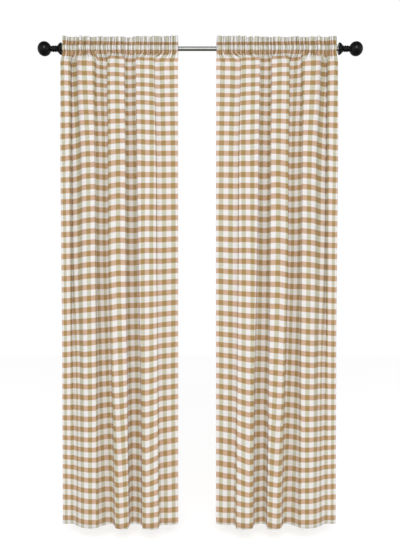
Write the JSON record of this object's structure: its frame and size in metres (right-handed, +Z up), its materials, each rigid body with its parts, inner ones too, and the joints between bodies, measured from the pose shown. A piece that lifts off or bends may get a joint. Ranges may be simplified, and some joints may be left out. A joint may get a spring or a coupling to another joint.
{
  "type": "pair of rod-pocket curtain panels on a curtain rod",
  "caption": "Tan and white gingham curtain panels with a ruffled rod-pocket heading, gathered on a plain round rod with ball finials.",
  "frame": {"origin": "middle of the rod's axis", "axes": "+Z up, front of the curtains faces -Y, +X to the right along the rod"},
  "size_m": [1.417, 0.0798, 2.1306],
  "materials": {
    "gingham_cloth": "yarn-dyed plain weave in tan and white check",
    "rod_metal": "satin grey tube",
    "finial_black": "satin black"
  },
  "bodies": {
    "root": {"left_panel": "gingham_cloth", "right_panel": "gingham_cloth", "rod": "rod_metal", "left_finial": "finial_black", "right_finial": "finial_black"}
  },
  "joints": []
}
